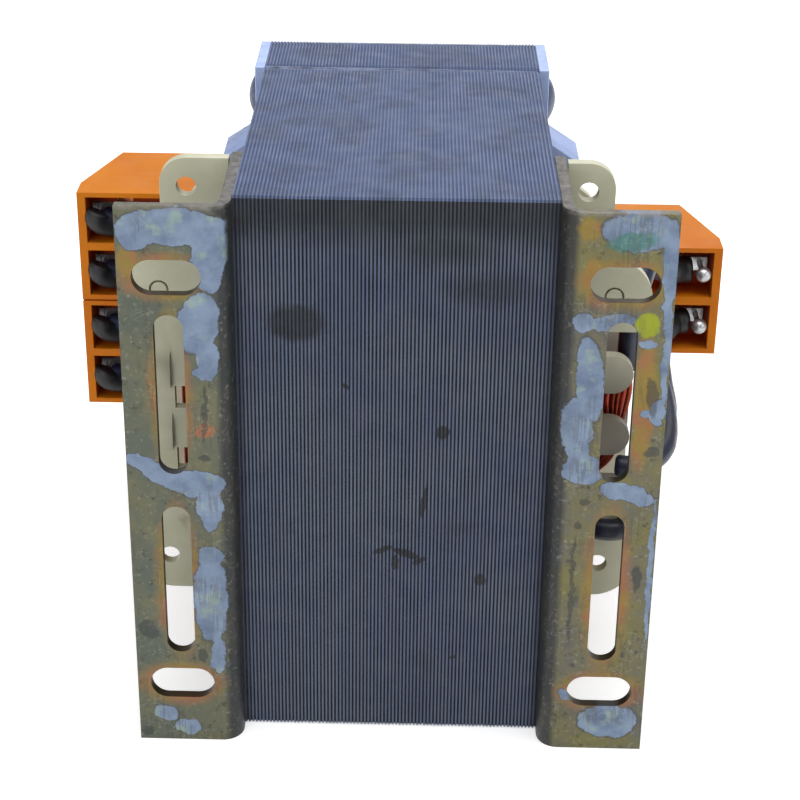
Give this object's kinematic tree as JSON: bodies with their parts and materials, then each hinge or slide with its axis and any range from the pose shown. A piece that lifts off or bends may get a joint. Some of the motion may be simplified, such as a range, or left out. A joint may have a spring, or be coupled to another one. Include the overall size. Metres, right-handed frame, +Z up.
{
  "type": "control transformer",
  "caption": "Small open transformer on a welded laminated core, with slotted mounting feet, a coil bobbin and orange screw terminal blocks on plated side brackets.",
  "frame": {"origin": "middle of the overall box in plan, on the plane that the part stands on", "axes": "+X across the lamination stack, to the side with one terminal block; +Y from the mounting face to the terminals; +Z up along the stack's legs"},
  "size_m": [0.1068, 0.0838, 0.084],
  "materials": {
    "core_steel": "rough laminated edge, dark varnish",
    "weld_metal": "bright weld",
    "chromated_steel": "worn olive chromate on zinc",
    "plated_steel": "dull zinc plate",
    "bobbin_plastic": "glass-filled, satin",
    "winding_wire": "enamelled copper wire",
    "terminal_plastic": "satin orange",
    "clamp_metal": "nickel plate",
    "tinned_metal": "tinned",
    "lead_sleeve": "dark sleeve"
  },
  "bodies": {
    "root": {"e_core_stack": "core_steel", "i_core_stack": "core_steel", "top_weld_bead": "weld_metal", "bottom_weld_bead": "weld_metal", "left_mounting_bracket": "chromated_steel", "right_mounting_bracket": "chromated_steel", "left_terminal_bracket": "plated_steel", "right_terminal_bracket": "plated_steel", "upper_rivet": "plated_steel", "lower_rivet": "plated_steel", "coil_bobbin": "bobbin_plastic", "secondary_winding": "winding_wire", "primary_winding": "winding_wire", "left_upper_block": "terminal_plastic", "left_lower_block": "terminal_plastic", "right_block": "terminal_plastic", "left_upper_clamps": "clamp_metal", "left_lower_clamps": "clamp_metal", "right_clamps": "clamp_metal", "left_upper_screws": "clamp_metal", "left_lower_screws": "clamp_metal", "right_screws": "clamp_metal", "left_upper_tags": "tinned_metal", "left_lower_tags": "tinned_metal", "right_tags": "tinned_metal", "left_lead_1": "lead_sleeve", "left_lead_2": "lead_sleeve", "left_lead_3": "lead_sleeve", "left_lead_4": "lead_sleeve", "right_upper_lead": "lead_sleeve", "right_lower_lead": "lead_sleeve"}
  },
  "joints": []
}
